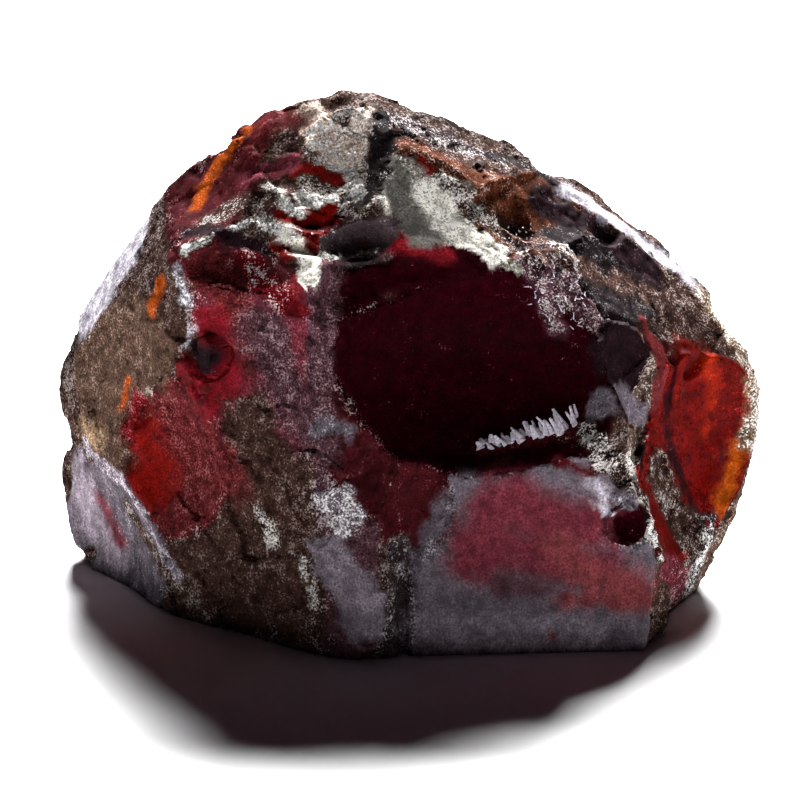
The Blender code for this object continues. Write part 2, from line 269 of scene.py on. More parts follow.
def skin(ground=None, veil=None, frost=None, snow=None, **more):
    # Only what is given is laid, so the rest stays as it was.
    given = {"ground": ground, "veil": veil, "frost": frost, "snow": snow, **more}
    return {name: value for name, value in given.items() if value is not None}


# The back skin is painted darker than the front to offset the strong key light from behind: painted shade on
# the back.
frontSkin = skin("umber", 0.9, 0.35, 0.2, satin=0.8, broken=0.45)
backSkin = skin("dusk", 1.0, 0.3, 0.03, satin=0.5, broken=0.5)
bareScar = skin("wine", 0.3, 0.06, 0.1, satin=0.6, broken=0.2)

scarCovers = {
    "greatScar": skin(veil=0.97, frost=0.04, broken=0.06, ripple=0.8),
    "greatScarLeft": skin("maroon", 0.8, 0.1),
    "greatScarFoot": skin("maroon", 0.97, 0.04),
    "greatScarHead": skin("wine", 1.0, 0.05, 0.1),
    # Painted glow: the blood red of the right window stands in for the key light shining through its thin
    # edge.
    "rightWindow": skin("blood", 0.6, 0.0, satin=0.15, broken=0.04, ripple=0.5),
    "windowCrescent": skin("night", 0.9, 0.04),
    "windowShell": skin("tan", 0.8, 0.4, 0.3, broken=0.5),
    "leftWindow": skin("brick", 0.95, 0.25, broken=0.35),
    "leftFace": skin("rose", 0.9, 0.25, 0.1, broken=0.5),
    # Painted shade: leftSpot is refilled to its full depth, and its night colour paints the shade of the
    # hollow.
    "leftSpot": skin("night", 0.8, 0.05),
    "leftShell": skin("crimson", 0.7, 0.2),
    "leftWing": skin("tan", 1.0, 0.25, 0.12, broken=0.4),
    # Painted reflection: the slate of the lower left facet paints the bright floor reflected in it; its
    # streaks are its own.
    "leftFoot": skin("slate", 0.9, 0.12, 0.4, streak=0.4),
    "upperLeft": skin("maroon", 0.95, 0.12, broken=0.2),
    "upperLeftLens": skin("maroon", 0.8, 0.2, 0.4),
    "underLedge": skin("maroon", 0.8, 0.15, 0.3),
    "crownNotch": skin("coal", 0.95, 0.06),
    "crownFront": skin("tan", 0.95, 0.5, 0.5, broken=0.5),
    "crownLens": skin("blood", 0.7, 0.03, satin=0.4),
    "crownLensLow": skin("blood", 0.7, 0.03, satin=0.4),
    "upperRight": skin("rust", 1.0, 0.2, 0.2, broken=0.2),
    "rightShoulder": skin("soot", 1.0, 0.28, 0.15, streak=0.6, broken=0.25),
    "rightBrow": skin("plum", 1.0, 0.3, 0.3, broken=0.3),
    "smallPocket": skin("maroon", 0.7, 0.08, 0.3),
    "pocketStep": skin("ash", 0.9, 0.6, 0.6, broken=0.7),
    "frontGroove": skin("coal", 0.9, 0.15, 0.3),
    "frontDimple": skin("pearl", 0.95, 0.3, 0.5),
    "frontShell": skin("plum", 0.9, 0.2, 0.2),
    "leftFootHollow": skin("umber", 0.9, 0.2, 0.2),
    "backRight": skin("wine", 0.9, 0.05, satin=0.2, broken=0.12, ripple=0.6),
    "backRightShell": skin("dusk", 0.9, 0.15, satin=0.2, ripple=0.4),
    "backRightFoot": skin("loam", 1.0, 0.35, broken=0.5),
    "backLeftFoot": skin("dusk", 1.0, 0.15, satin=0.3),
    "backLeftShell": skin("wine", 0.85, 0.12, satin=0.2, ripple=0.5),
    "backLower": skin("loam", 1.0, 0.3, broken=0.4),
    "backMiddle": skin("wine", 0.9, 0.12, satin=0.2, ripple=0.5),
    "backCrest": skin("loam", 1.0, 0.35, broken=0.4),
    "backCrestRight": skin("dusk", 0.9, 0.18, satin=0.2, ripple=0.4),
    # Painted reflection: the grey slate veil of the lower front facet paints the floor reflected in its satin
    # face.
    "lowerFront": skin("slate", 1.0, 0.0, satin=0.7, broken=0.05, streak=0.12),
    "leftFront": skin("umber", 1.0, 0.28, 0.15, broken=0.6),
    "frontCorner": skin("plum", 0.95, 0.22, 0.15, broken=0.45),
    "upperLeftSplit": skin("maroon", 0.95, 0.15, 0.3, broken=0.4),
    "crownRight": skin("ash", 1.0, 0.3, 0.6, broken=0.05),
    "underCrest": skin("rust", 1.0, 0.22, 0.2, broken=0.2),
    "backLeft": skin("dusk", 1.0, 0.25, broken=0.4),
    "backUpper": skin("dusk", 1.0, 0.25, broken=0.5),
    "rightFoot": skin("tan", 0.85, 0.35, 0.3, broken=0.6),
}

# Strokes laid over that, in order: what each is, the points that it runs through in frame
# millimetres, its half-width, and what it leaves. blur softens its edge.
strokes = [
    # Painted highlight: left sky facet paints the key light caught on the upper left rim in pale pearl.
    ("left sky facet", [(-12.8, 1.3, 10.4), (-12.1, 0.9, 11.8), (-10.8, 0.8, 13.9)], 1.0,
     skin("pearl", 1.0, 0.1, 0.8, broken=0.1, streak=0.5)),
    ("left wing", [(-12.3, -0.1, 9.2), (-11.0, -1.6, 11.0), (-10.1, -2.9, 10.6)], 1.4,
     skin("tan", 1.0, 0.25)),
    ("ochre patch", [(-13.0, 0.4, 6.0), (-12.3, -0.6, 6.0)], 0.5, skin("ochre", 1.0, 0.3, 0.1, blur=0.5)),
    # Painted glow: the ember strokes on the left wing paint orange light shining through it.
    ("left wing ember", [(-9.7, -3.0, 13.3), (-10.0, -2.8, 12.2)], 0.24, skin("ember", 1.0, 0.1, blur=0.7)),
    ("left wing red", [(-10.6, -2.0, 8.4), (-11.1, -2.0, 6.8)], 0.5, skin("crimson", 1.0, 0.3, blur=0.6)),
    ("left wing ember low", [(-11.1, -1.6, 8.9), (-11.4, -1.4, 7.6)], 0.16,
     skin("ember", 1.0, 0.2, blur=0.7)),
    # Painted highlights: the left glints paint white glints along the ridge in pearl.
    ("left glints", [(-8.9, -4.1, 14.1), (-8.6, -4.4, 13.1)], 0.2, skin("pearl", 1.0, 0.5, 0.9, blur=0.5)),
    ("left glints low", [(-8.4, -4.5, 12.0), (-8.5, -4.4, 11.2)], 0.16,
     skin("pearl", 1.0, 0.5, 0.9, blur=0.5)),
    # Painted glow: left window glow and left window fade paint red light shining through the thin lower left.
    ("left window glow", [(-10.2, -2.6, 7.1), (-9.8, -2.9, 5.8), (-10.3, -2.8, 5.0)], 1.0,
     skin("blood", 1.0, 0.02, 0.0, broken=0.15, blur=0.55)),
    ("left window fade", [(-8.8, -3.6, 7.5), (-7.7, -4.6, 7.1), (-6.9, -5.8, 6.7)], 1.2,
     skin("brick", 1.0, 0.3, 0.05, blur=0.7)),
    ("left window rise", [(-8.5, -4.6, 10.0), (-7.9, -4.9, 9.3)], 0.8, skin("crimson", 0.85, 0.15)),
    ("left face rose", [(-7.6, -4.3, 14.1), (-6.7, -4.9, 13.3),
     (-6.1, -5.1, 12.2), (-6.3, -5.1, 10.9)], 0.9,
     skin("brick", 1.0, 0.25, 0.1, blur=0.4)),
    ("left face red", [(-7.5, -4.7, 12.4), (-7.2, -4.0, 11.2), (-6.9, -5.0, 9.9)], 0.7,
     skin("crimson", 0.95, 0.05, 0.0, broken=0.2, blur=0.5)),
    # Painted shade: left hole paints the dark of a small hollow in night.
    ("left hole", [(-8.1, -3.9, 11.3), (-7.9, -4.0, 10.7)], 0.28, skin("night", 1.0, 0.02)),
    ("grey slope", [(-5.6, -5.3, 12.2), (-4.9, -5.9, 10.4), (-4.2, -6.9, 9.2)], 1.1,
     skin("plum", 1.0, 0.33, 0.12, blur=0.55)),
    ("frost band", [(-6.1, -5.6, 8.7), (-5.3, -6.9, 7.1), (-4.6, -7.4, 5.3), (-5.4, -7.0, 2.6)], 1.2,
     skin("umber", 1.0, 0.3, 0.15)),
    ("pale scab", [(-5.9, -6.5, 5.3), (-5.2, -7.1, 4.3)], 0.35,
     skin("tan", frost=0.52, snow=0.8, blur=0.6)),
    ("pale scab low", [(-4.2, -7.8, 3.7), (-3.8, -8.1, 2.6), (-3.6, -8.3, 1.5)], 0.3,
     skin("tan", frost=0.52, snow=0.8, blur=0.6)),
    ("white patch", [(-3.1, -8.2, 6.3), (-2.6, -8.4, 6.5), (-2.3, -8.5, 5.9), (-2.6, -8.5, 5.4)], 0.45,
     skin("lilac", 1.0, 0.42, 0.8)),
    ("front foot", [(-3.0, -8.4, 4.0), (-2.3, -8.7, 2.9), (-1.6, -8.7, 1.6)], 0.9,
     skin("smoke", 1.0, 0.06, 0.2, broken=0.15)),
    ("front foot light", [(-1.4, -8.7, 2.4), (-1.3, -8.7, 1.2)], 0.5, skin("lilac")),
    ("groove", [(-0.4, -7.8, 4.6), (-0.5, -8.4, 3.2), (-0.7, -8.5, 1.6), (-0.9, -8.7, 0.4)], 0.3,
     skin("coal", 1.0, 0.25, 0.8)),
    ("crimson band", [(-1.6, -3.5, 15.0), (-0.3, -4.3, 15.5), (0.8, -4.3, 15.1), (1.4, -4.3, 14.8)], 0.4,
     skin("crimson", 0.95, 0.1, 0.2, blur=0.55)),
    ("great scar fuzzy edge", [(-3.0, -5.3, 15.1), (-3.4, -7.2, 12.9),
     (-3.5, -7.2, 10.1), (-3.2, -7.8, 8.3)], 0.7,
     skin("plum", 1.0, 0.3, 0.12)),
    ("scallops", [(-3.5, -7.6, 9.0), (-3.0, -7.3, 9.1), (-2.4, -7.1, 8.8)], 0.3,
     skin("slate", 1.0, 0.2, 0.3)),
    ("window crescent", [(7.8, -4.0, 12.0), (7.5, -5.5, 11.3), (8.0, -4.7, 9.8)], 0.6,
     skin("night", 0.95, 0.03)),
    ("window arc", [(9.0, -2.9, 11.9), (9.6, -3.3, 10.9), (9.9, -3.5, 9.5), (9.6, -3.5, 8.5)], 0.32,
     skin("brick", 1.0, 0.04, broken=0.1)),
    ("window arc dark", [(10.1, -2.7, 10.9), (10.4, -2.6, 9.4), (10.2, -2.6, 8.0)], 0.22,
     skin("wine", 0.95, 0.03)),
    # Painted glow: window red and window glow paint the key light shining red through the thin right edge.
    ("window red", [(11.0, -1.8, 10.2), (11.5, -1.3, 8.3), (11.1, -1.5, 6.8), (11.6, -1.7, 4.9)], 0.9,
     skin("flare", 0.78, 0.0, blur=0.6)),
    ("window glow", [(11.9, -1.2, 9.6), (12.2, -1.0, 8.2), (12.0, -1.3, 6.6)], 0.32,
     skin("scarlet", 0.9, 0.0, blur=0.8)),
    ("window shade", [(10.9, -2.0, 10.2), (10.9, -2.0, 8.6), (11.2, -1.9, 7.2), (11.2, -1.9, 5.6)], 0.13,
     skin("maroon", 1.0, blur=0.5)),
    ("window left dark", [(10.0, -2.9, 8.5), (10.2, -2.6, 6.7), (10.8, -2.4, 5.0), (11.6, -2.6, 3.3)], 0.28,
     skin("dusk", 1.0, 0.06)),
    ("window dark line", [(12.3, -0.9, 8.2), (12.8, -0.7, 6.8), (12.7, -0.8, 5.6), (12.2, -1.2, 4.6)], 0.12,
     skin("maroon", 1.0)),
    # Painted glow: rim ember paints orange light shining through the thin rim.
    ("rim ember", [(13.3, -0.4, 5.7), (12.8, -1.1, 4.4), (12.3, -1.7, 3.4)], 0.32,
     skin("ember", 0.85, 0.05, blur=0.5)),
    ("brown right", [(9.6, -3.7, 5.9), (10.3, -3.3, 4.5), (11.0, -3.3, 3.2), (11.5, -3.4, 2.5)], 0.9,
     skin("umber", 1.0, 0.36, 0.4, broken=0.6)),
    ("lower right dusk", [(10.1, -6.4, 3.0), (10.7, -3.8, 0.8)], 0.7, skin("rose", 1.0, 0.3, 0.4)),
    # Painted highlight: sky strip paints the key light caught along the right skyline in pale pearl.
    ("sky strip", [(6.0, 0.9, 16.0), (7.6, 0.9, 15.0), (9.6, 1.1, 13.5), (11.5, 1.1, 11.8)], 0.4,
     skin("pearl", 1.0, 0.1, 0.8, broken=0.1)),
    ("sky crust", [(11.7, 1.0, 11.6), (13.3, 0.6, 9.3), (13.7, 0.2, 8.2),
     (13.9, 0.3, 6.9), (13.7, -0.1, 5.8)], 0.5,
     skin("ochre", 1.0, 0.5, 0.8)),
    ("lower rim", [(12.1, -2.2, 3.2), (11.8, -2.9, 2.2), (11.2, -2.8, 0.6)], 0.4,
     skin("coal", 1.0, 0.45, 1.0)),
    ("brown grey", [(4.3, -1.8, 14.9), (5.4, -4.0, 14.9), (7.0, -2.1, 13.4), (8.3, -1.5, 12.6)], 0.7,
     skin("umber", 1.0, 0.3, 0.25, broken=0.3)),
    ("window haze", [(8.7, -1.2, 12.5), (9.8, -1.4, 11.9), (11.1, -0.9, 10.9)], 0.7,
     skin("umber", 1.0, 0.3, 0.2, broken=0.3)),
    ("brown band", [(1.2, -2.2, 17.9), (2.7, -2.0, 17.2), (3.9, -1.4, 16.2), (5.1, -1.1, 15.5)], 0.7,
     skin("rust", 1.0, 0.24, 0.1, streak=0.4, broken=0.15)),
    ("brown band light", [(0.0, -1.8, 18.4), (1.2, -1.9, 18.0), (2.7, -1.8, 17.3), (4.1, -0.9, 16.5)], 0.6,
     skin("rust", 1.0, 0.3, 0.25, streak=0.4, broken=0.3)),
    ("orange band", [(0.4, -2.2, 18.0), (1.1, -2.6, 17.5)], 0.3, skin("blood", 1.0, 0.08)),
    ("top grey", [(-0.5, -0.2, 19.2), (0.8, -0.4, 18.6), (2.4, 0.0, 17.8), (3.6, 0.2, 17.4)], 0.5,
     skin("coal", 1.0, 0.4, 0.5, broken=0.5)),
    ("top dark", [(3.6, 0.4, 17.4), (4.6, 0.9, 17.0), (5.6, 1.0, 16.3)], 0.4, skin("soot", 1.0, 0.1, 0.3)),
    ("dark brow", [(5.3, -0.5, 15.9), (6.7, -0.3, 15.0), (8.1, -0.3, 13.8), (9.3, -0.4, 12.8)], 0.75,
     skin("night", 1.0, 0.18, 0.1, streak=0.6, broken=0.15)),
    ("dark brow low", [(5.9, -1.6, 14.9), (7.3, -1.3, 13.8)], 0.7,
     skin("soot", 1.0, 0.24, 0.25, streak=0.7, broken=0.2)),
    ("scar lip", [(0.8, -4.6, 14.4), (2.4, -4.6, 14.3), (3.8, -4.4, 14.0)], 0.36,
     skin("wine", 1.0, 0.08, 0.15, broken=0.2)),
    ("crumb spray", [(4.1, -3.2, 15.2), (4.6, -5.2, 14.9), (5.2, -4.8, 13.7), (5.6, -4.4, 12.1)], 0.45,
     skin("plum", 1.0, 0.38, 0.45, streak=1.0, blur=0.4)),
    ("crumb spray right", [(5.8, -3.0, 14.8), (6.2, -3.3, 13.9)], 0.4, skin(frost=0.42, snow=0.5)),
    ("crown facet grey", [(-0.7, -2.6, 17.7), (-0.2, -3.4, 16.9), (0.6, -4.2, 15.9)], 0.65,
     skin("steel", 1.0, 0.08, 0.6, broken=0.03)),
    ("crown facet brown", [(1.2, -2.5, 17.3), (2.3, -3.0, 16.6),
     (3.3, -3.1, 15.9), (4.2, -3.7, 15.2)], 0.55,
     skin("tan", 1.0, 0.45, 0.7, broken=0.6)),
    ("crown facet white", [(0.8, -3.0, 17.0), (1.3, -3.6, 16.4),
     (2.1, -4.0, 15.7), (3.3, -4.4, 15.1)], 0.55,
     skin("bone", 1.0, 0.22, 1.0, broken=0.08)),
    ("notch", [(-2.8, -3.9, 15.6), (-1.9, -3.3, 15.6), (-0.9, -4.1, 16.0), (-1.5, -3.6, 15.0)], 0.5,
     skin("coal", 1.0, 0.08, 0.6)),
    ("crown crust", [(-3.9, -0.1, 19.3), (-3.3, -0.8, 18.7), (-2.5, -1.3, 18.0)], 0.75,
     skin("shell", 1.0, 0.5, 1.0, broken=0.4)),
    ("crown crust right", [(-1.7, -0.5, 19.3), (-2.4, -1.0, 18.4)], 0.45,
     skin("shell", 1.0, 0.5, 0.9, broken=0.4)),
    ("crown dark", [(-1.1, -0.5, 19.2), (-1.0, -1.6, 18.3), (-1.4, -2.9, 17.3), (-1.9, -3.6, 16.8)], 0.42,
     skin("soot", 1.0, 0.12, 0.9, broken=0.5)),
    ("crown flake", [(-2.7, -1.8, 17.6), (-2.2, -2.2, 17.3), (-2.0, -3.0, 17.0)], 0.24,
     skin("bone", 1.0, 0.7, 1.0)),
    ("crown lens", [(-4.4, -2.1, 17.7), (-3.4, -1.9, 17.5), (-2.8, -2.2, 17.3)], 0.3,
     skin("blood", 1.0, 0.02, 0.6, broken=0.1)),
    ("crown lens white", [(-4.1, -3.2, 16.9), (-3.5, -3.2, 16.7), (-2.9, -3.0, 16.7)], 0.26,
     skin("bone", 1.0, 0.6, 1.0)),
    ("crown lens low", [(-4.9, -3.8, 16.2), (-4.0, -3.7, 16.2), (-3.0, -3.4, 16.4)], 0.3,
     skin("blood", 0.95, 0.02, broken=0.1)),
    ("crown streak", [(-5.4, -2.5, 17.0), (-5.0, -3.0, 16.8), (-4.3, -3.6, 16.5)], 0.22,
     skin("bone", 1.0, 0.7, 1.0)),
    ("white crust", [(-4.7, -4.4, 15.9), (-4.2, -4.7, 15.4), (-3.7, -5.8, 15.0), (-3.8, -6.3, 14.6)], 0.34,
     skin("bone", 1.0, 0.26, 1.0)),
    ("white crust right", [(-3.2, -5.1, 15.2), (-2.3, -4.2, 14.8), (-1.4, -3.9, 14.9)], 0.24,
     skin("ash", 1.0, 0.5, 1.0)),
    ("upper left red", [(-6.2, -0.5, 18.0), (-5.7, 0.1, 18.6), (-5.0, 0.3, 19.0), (-4.4, -0.1, 19.1)], 0.6,
     skin("brick", 1.0, 0.12, 0.1, broken=0.2, blur=0.6)),
    # Painted glow: upper left ember paints an orange streak of light shining through the upper left edge.
    ("upper left ember", [(-6.4, 0.5, 18.4), (-7.4, 0.3, 17.4),
     (-8.0, -0.3, 16.5), (-8.3, -1.0, 15.9)], 0.3,
     skin("ember", 1.0, 0.12, broken=0.1, blur=0.6)),
    ("upper left haze", [(-6.2, -1.4, 17.1), (-5.2, -1.9, 17.5), (-4.4, -1.6, 17.9)], 0.4,
     skin("rose", 0.95, 0.15, 0.2, blur=0.5)),
    ("upper left dusk", [(-7.9, -2.5, 15.7), (-6.7, -2.5, 16.4), (-5.5, -2.9, 16.7)], 0.55,
     skin("umber", 1.0, 0.35, 0.45, blur=0.5)),
    ("ledge crumbs", [(-8.6, -3.8, 15.0), (-7.1, -3.6, 15.6), (-5.8, -3.5, 16.1), (-5.0, -4.1, 16.0)], 0.19,
     skin("ash", 1.0, 0.6, 1.0)),
    ("under ledge", [(-8.7, -2.5, 15.3), (-7.1, -3.7, 15.5), (-5.6, -4.6, 15.1)], 0.34,
     skin("night", 1.0, 0.1, 0.3)),
    ("red under ledge", [(-6.1, -3.9, 14.5), (-5.6, -5.1, 14.0), (-4.7, -5.5, 13.5)], 0.45,
     skin("crimson", 1.0, 0.25, 0.9)),
    ("hackle bed", [(2.8, -6.1, 7.8), (4.3, -6.0, 8.1), (5.5, -6.0, 8.5), (6.2, -6.4, 8.5)], 0.4,
     skin("maroon", 0.95, 0.15, 0.4)),
    # Painted glow: the rose and coral strokes on the lower front facet paint light coming through the stone
    # as a pink-red glow.
    ("front facet rose", [(2.6, -7.8, 4.4), (3.5, -7.6, 6.0), (5.0, -7.7, 5.4), (6.8, -7.6, 5.0)], 1.2,
     skin("rose", blur=0.55)),
    ("front facet rose low", [(2.7, -7.9, 3.8), (4.3, -7.7, 4.1), (5.8, -7.8, 3.7), (7.7, -7.7, 3.3)], 0.9,
     skin("rose", blur=0.55)),
    ("front facet coral", [(6.0, -7.7, 4.2), (7.0, -7.8, 3.0), (8.9, -7.6, 2.4)], 0.75,
     skin("coral", blur=0.55)),
    ("front facet red", [(5.8, -7.9, 2.1), (7.4, -7.9, 2.1), (9.3, -7.7, 1.9)], 0.3,
     skin("coral", blur=0.5)),
    # Painted reflection: lilac along the foot of the lower front facet paints the floor reflected there.
    ("front facet foot", [(0.2, -8.4, 1.1), (2.7, -8.2, 0.9), (5.1, -8.1, 0.7), (7.0, -8.0, 0.6)], 0.75,
     skin("lilac", blur=0.5)),
    ("front facet hollow", [(5.7, -7.3, 7.6), (6.3, -7.3, 7.4), (6.8, -7.3, 7.1)], 0.3,
     skin("maroon", 1.0, 0.12)),
    ("front facet dusk", [(3.6, -7.9, 2.9), (5.0, -7.9, 2.4)], 0.5, skin("plum", blur=0.55)),
    # Painted reflection: the slate pale edge paints the floor reflected at the facet's upper left.
    ("front facet pale edge", [(0.6, -8.0, 4.2), (1.3, -7.5, 5.7), (2.3, -7.6, 7.0)], 0.35,
     skin("slate", blur=0.55)),
    # Painted glow: small coral spots of the same glow.
    ("front facet spots", [(5.3, -8.0, 0.7), (5.6, -8.1, 0.5)], 0.22, skin("coral")),
    ("pocket deep", [(8.1, -6.6, 4.7), (8.7, -7.0, 4.7), (9.0, -7.1, 5.2)], 0.6, skin("wine", 1.0, 0.1)),
    ("pocket lip", [(7.3, -7.3, 6.7), (7.4, -7.4, 6.1), (7.6, -7.4, 5.6)], 0.2, skin("pearl", 1.0, 0.1)),
    ("pocket roof", [(7.9, -7.4, 6.2), (8.5, -7.1, 5.9)], 0.3, skin("slate", frost=0.3, snow=0.3)),
    ("crumb ridge", [(6.9, -6.9, 8.7), (7.3, -7.6, 8.1), (7.9, -6.5, 7.0),
     (8.7, -6.2, 6.0), (9.1, -5.8, 5.2)], 0.5,
     skin("umber", 1.0, 0.45, 0.6, broken=0.9)),
    ("crumb ridge low", [(9.1, -6.3, 5.2), (9.3, -7.1, 4.7), (9.7, -6.9, 3.6)], 0.3,
     skin("umber", 1.0, 0.5, 0.9, broken=0.9)),
    ("grey cap", [(7.3, -6.3, 9.5), (8.3, -4.9, 9.2), (9.0, -4.2, 8.4)], 0.6,
     skin("slate", 1.0, 0.15, 0.2, broken=0.2)),
    ("slit", [(9.0, -4.3, 7.7), (9.1, -5.0, 6.5)], 0.22, skin("night", 1.0, 0.03)),
    # Painted reflection: foot glass paints the floor reflected in the smooth lower left corner in lilac.
    ("foot glass", [(-13.3, 0.7, 4.2), (-12.7, 0.5, 2.1), (-11.6, -0.7, 0.9)], 0.7,
     skin("lilac", 1.0, 0.05, broken=0.1, streak=0.3, blur=0.5)),
    ("foot dark", [(-11.1, -1.7, 3.4), (-10.1, -3.1, 2.1), (-8.6, -4.9, 0.9)], 0.4,
     skin("tan", 1.0, 0.35, 0.4, streak=0.3)),
    # Partly painted reflection: foot streak draws the corner's own streaks in lilac, which also paints the
    # floor reflected there.
    ("foot streak", [(-13.0, 0.4, 5.4), (-11.5, -1.9, 4.8), (-10.2, -3.2, 3.1), (-9.2, -4.4, 1.7)], 0.25,
     skin("lilac", 1.0, 0.35, 0.5, streak=0.4)),
    ("foot blush", [(-12.4, 0.0, 3.2), (-11.6, -0.7, 1.7)], 0.35, skin("rose", blur=0.9)),
    # The back strokes use dark colours painted to offset the strong key light on the back: painted shade.
    ("back crest frost", [(-2.5, 2.0, 19.0), (-5.5, 2.6, 17.5), (-8.5, 2.8, 15.0)], 1.3,
     skin("umber", 1.0, 0.45, 0.08, blur=0.8)),
    ("back top slope", [(7.5, 3.1, 14.0), (4.0, 2.8, 16.5), (0.5, 1.7, 18.8)], 1.4,
     skin("loam", 1.0, 0.42, 0.12, blur=0.8)),
    ("back rust", [(-6.5, 5.9, 9.5), (-8.0, 4.4, 12.5), (-10.2, 2.8, 13.0)], 1.5,
     skin("loam", 1.0, 0.4, 0.03, blur=0.8)),
    ("back red glow", [(-9.5, 4.0, 10.5), (-11.0, 3.8, 8.0), (-10.5, 4.6, 5.5)], 1.3,
     skin("claret", 1.0, 0.1, broken=0.2, blur=0.8)),
    ("back middle dark", [(5.5, 6.8, 8.5), (2.5, 8.6, 6.8), (-3.0, 8.5, 6.5)], 1.2,
     skin("ink", 1.0, 0.25, 0.1, blur=0.8)),
    ("back middle red", [(1.0, 5.5, 14.5), (-1.5, 6.4, 13.8), (-3.5, 6.4, 13.8)], 0.9,
     skin("claret", 1.0, 0.12, blur=0.8)),
    ("back white crust", [(-4.5, 6.7, 12.0), (-5.8, 5.5, 13.2), (-5.6, 5.1, 15.0)], 0.7,
     skin("umber", 1.0, 0.5, 0.15, blur=0.8)),
    ("back crack", [(-1.0, 7.6, 12.0), (-3.5, 7.6, 11.5), (-6.0, 5.7, 11.8)], 0.45,
     skin("ink", 1.0, 0.3, 0.2)),
    ("back neck", [(4.5, 7.0, 11.0), (1.8, 8.0, 10.2), (1.2, 8.2, 8.8)], 0.7,
     skin("loam", 1.0, 0.45, 0.15, blur=0.8)),
    ("back foot grey", [(-5.0, 7.4, 3.0), (-7.5, 6.2, 4.0), (-10.0, 4.9, 3.5)], 1.2,
     skin("ink", 1.0, 0.35, 0.1, blur=0.8)),
    ("back foot dark", [(4.0, 7.1, 1.8), (0.5, 7.9, 1.5), (-3.0, 7.7, 1.5)], 1.2,
     skin("loam", 1.0, 0.42, 0.1, blur=0.8)),
    ("back edge left", [(-13.0, 2.6, 9.0), (-13.0, 3.3, 5.0), (-12.0, 4.2, 2.5)], 1.1,
     skin("loam", 1.0, 0.42, 0.1, blur=0.8)),
    ("back edge right", [(13.3, 1.6, 8.0), (12.5, 1.7, 4.5)], 0.9, skin("umber", 1.0, 0.42, 0.1, blur=0.8)),
]

coverSet = {
    "ragged": ((0.5, 1.1, 3), (0.4, 0.42, 4), (0.3, 0.2, 6)),  # share, size and seed of each layer
    "crumbled": ((0.13, 0.5, 7), (0.13, 0.24, 8)),
    "drift": ((0.08, 2.2, 5),),
    "frontFades": (-0.35, 0.15),   # how far a surface faces the front where the two skins meet
    "scarFades": (0.0, 0.8),
    "ridgeFades": (0.55, 0.95),
    "ridgeRagged": 0.3,
    "ridgeShare": 0.6,
    "ridgeSkin": skin(veil=0.9, frost=0.45, snow=0.5),
    "strokeRagged": 0.55,
    "strokeBlur": 0.2,
}


def distanceToStroke(points, stroke):
    best = np.full(len(points), np.inf)
    for start, end in zip(stroke[:-1], stroke[1:]):
        a, b = np.array(start), np.array(end)
        along = np.clip(((points - a) @ (b - a)) / max((b - a) @ (b - a), 1e-9), 0, 1)
        best = np.minimum(best, np.linalg.norm(points - a - along[:, None] * (b - a), axis=1))
    return best


def normalsOf(mesh):
    flat = np.empty(len(mesh.vertices) * 3, np.float32)
    mesh.vertices.foreach_get("normal", flat)
    return flat.reshape(-1, 3).astype(float)


def keepAttribute(mesh, name, values, kind="FLOAT", field="value"):
    made = mesh.attributes.new(name, kind, "POINT")
    made.data.foreach_set(field, np.asarray(values, np.float32).ravel())


def layCover(cover, amount, leaves):
    for name, value in leaves.items():
        if name == "ground":
            cover[name] += (np.array(palette[value]) - cover[name]) * amount[:, None]
        elif name != "blur":
            cover[name] += (value - cover[name]) * amount


def coverStone(mesh, names, owner, near, ridge):
    points = pointsOf(mesh)
    count = len(points)
    cover = {name: np.zeros(count) for name in coverNames}
    cover["ground"] = np.zeros((count, 3))
    layCover(cover, np.ones(count), backSkin)
    layCover(cover, smooth(-normalsOf(mesh)[:, 1], *coverSet["frontFades"]), frontSkin)
    reach = np.zeros(count)
    for index, scar in enumerate(names):
        inside = (owner == index) * smooth(near, *coverSet["scarFades"])
        layCover(cover, inside, {**dict.fromkeys(coverNames, 0.0), **bareScar, **scarCovers[scar]})
        if scar in flakes:
            spot, facing, size = flakes[scar]
            struck = np.array(spot) + numbersToFrame + ownAxes(facing)[:, 1] * size[1]
            reach = np.where(owner == index, np.linalg.norm(points - struck, axis=1), reach)
    ragged = layered(points, coverSet["ragged"])
    crumbled = layered(points, coverSet["crumbled"])
    crumbly = smooth(ridge + coverSet["ridgeRagged"] * ragged, *coverSet["ridgeFades"])
    layCover(cover, crumbly * coverSet["ridgeShare"], coverSet["ridgeSkin"])
    for label, route, width, leaves in strokes:
        edge = leaves.get("blur", coverSet["strokeBlur"])
        far = (distanceToStroke(points, route) + crumbled) / width
        layCover(cover, smooth(far + coverSet["strokeRagged"] * ragged, 1 + edge, 1 - edge), leaves)
    cover["frost"] = np.clip(cover["frost"] + layered(points, coverSet["drift"]), 0, 1)
    for name in coverNames:
        keepAttribute(mesh, name, cover[name])
    keepAttribute(mesh, "ridge", crumbly)
    keepAttribute(mesh, "reach", reach)
    keepAttribute(mesh, "ground", np.hstack((cover["ground"], np.ones((count, 1)))), "FLOAT_COLOR", "color")
    print("covered:", {name: round(float(cover[name].mean()), 2) for name in coverNames})


stone = fineStone()
coverStone(stone.data, *trueScars(stone.data))

reliefSet = {
    "Cell Bend": 0.8,
    "Slab Size": 3.0, "Slab Tilt": 0.13,
    "Step Size": 1.3, "Step Tilt": 0.16,
    "Chip Size": 0.5, "Chip Tilt": 0.20,
    "Grain Size": 0.26, "Grain Height": 0.035, "Grain Least": 0.1,
    "Ripple Spacing": 1.15, "Ripple Height": 0.03, "Ripple Wander": 7.0,
    "Ridge Wear": 0.14,
    "Base Still": 0.02, "Base Free": 0.6,   # heights between which the relief fades in
    "Seed": 5,
}
facesKept = 150000
sharpFrom = 38  # degrees between two faces

